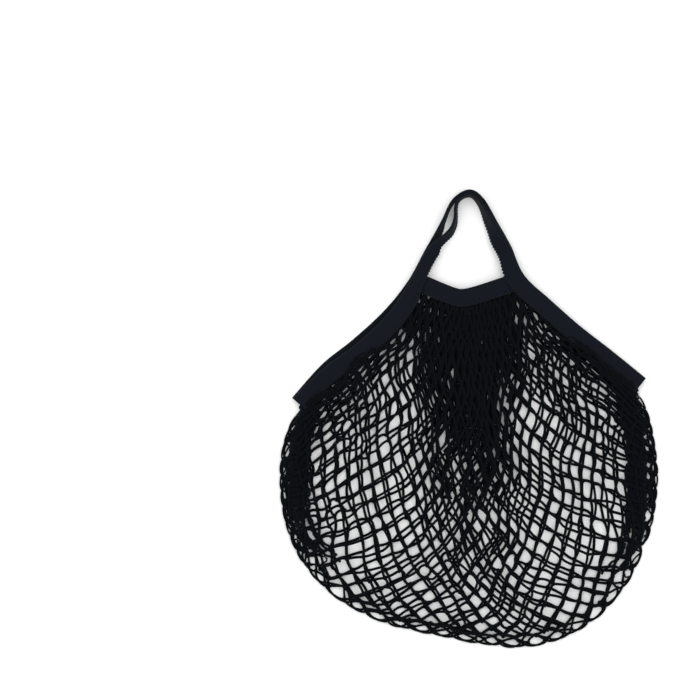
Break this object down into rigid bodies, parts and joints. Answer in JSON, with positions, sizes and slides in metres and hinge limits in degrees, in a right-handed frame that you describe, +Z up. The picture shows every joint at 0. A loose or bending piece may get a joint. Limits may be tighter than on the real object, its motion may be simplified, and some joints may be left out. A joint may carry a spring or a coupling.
{
  "type": "string bag",
  "caption": "Knotted string shopping bag with short tape handles, empty and lying flat on its back, its mouth slightly open.",
  "frame": {"origin": "middle of the bounding box at its base: the surface that the bag lies on", "axes": "+X across the bag to the right as pictured, +Y from the foot of the netting to the handles, +Z up, out of the face that shows"},
  "size_m": [0.38, 0.4601, 0.0201],
  "materials": {
    "string": "matt twisted cotton string, near black",
    "tape": "matt fine-ribbed knitted tape, blue black",
    "seam": "matt turned-in and gathered side seam, blue black"
  },
  "bodies": {
    "root": {"netting": "string", "handle_front": "tape", "handle_back": "tape", "band_front": "tape", "band_back": "tape", "seam_left": "seam", "seam_right": "seam"}
  },
  "joints": []
}
